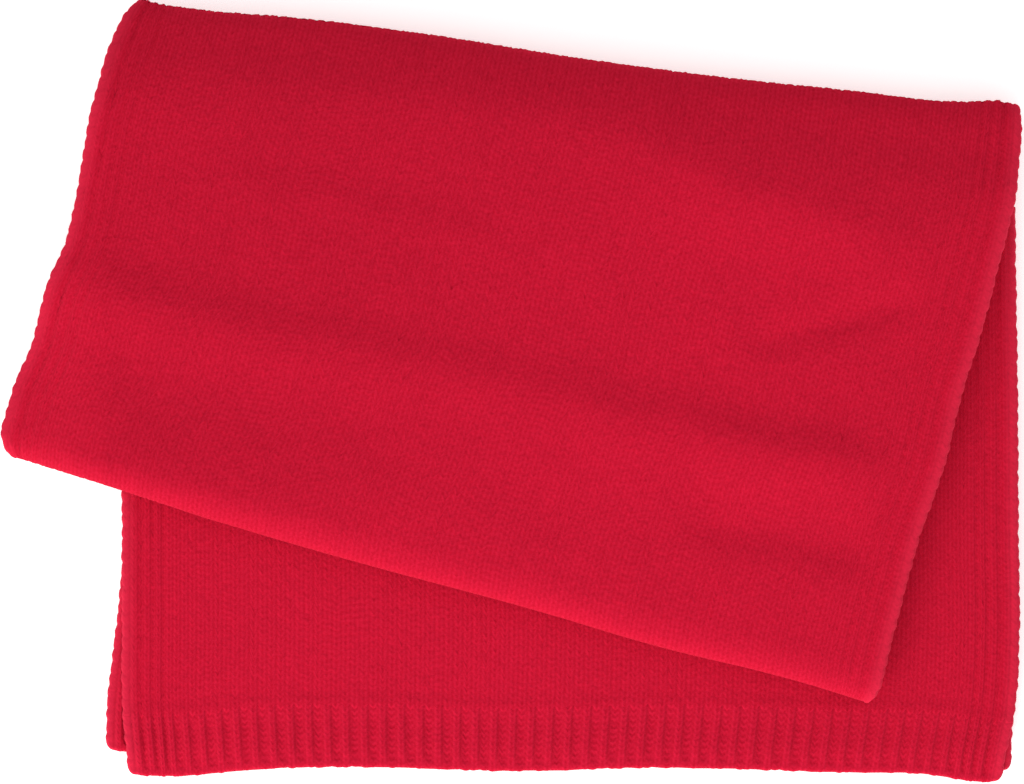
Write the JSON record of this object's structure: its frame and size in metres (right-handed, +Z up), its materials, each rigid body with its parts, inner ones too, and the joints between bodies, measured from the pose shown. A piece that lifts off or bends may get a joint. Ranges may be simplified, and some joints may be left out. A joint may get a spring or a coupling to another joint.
{
  "type": "folded knit scarf",
  "caption": "Plain knit scarf folded to lie flat: its ribbed ends lie together at the front and the doubled bundle is turned back over them as a slanted flap.",
  "frame": {"origin": "on the floor under the middle of the folded scarf", "axes": "+X across the scarf's width, from left to right as one stands at the ribbed ends; +Y from the ribbed ends towards the top roll; +Z up"},
  "size_m": [0.3416, 0.2624, 0.023],
  "materials": {
    "stockinette": "crimson wool in stockinette, slightly felted, matt with a soft nap",
    "rib": "the same crimson wool in one-by-one rib"
  },
  "bodies": {
    "root": {"floor_stretch": "stockinette", "flap_stretch": "stockinette", "hidden_layers": "stockinette", "front_leaf": "stockinette", "under_leaf": "stockinette", "front_rib": "rib", "under_rib": "rib"}
  },
  "joints": []
}
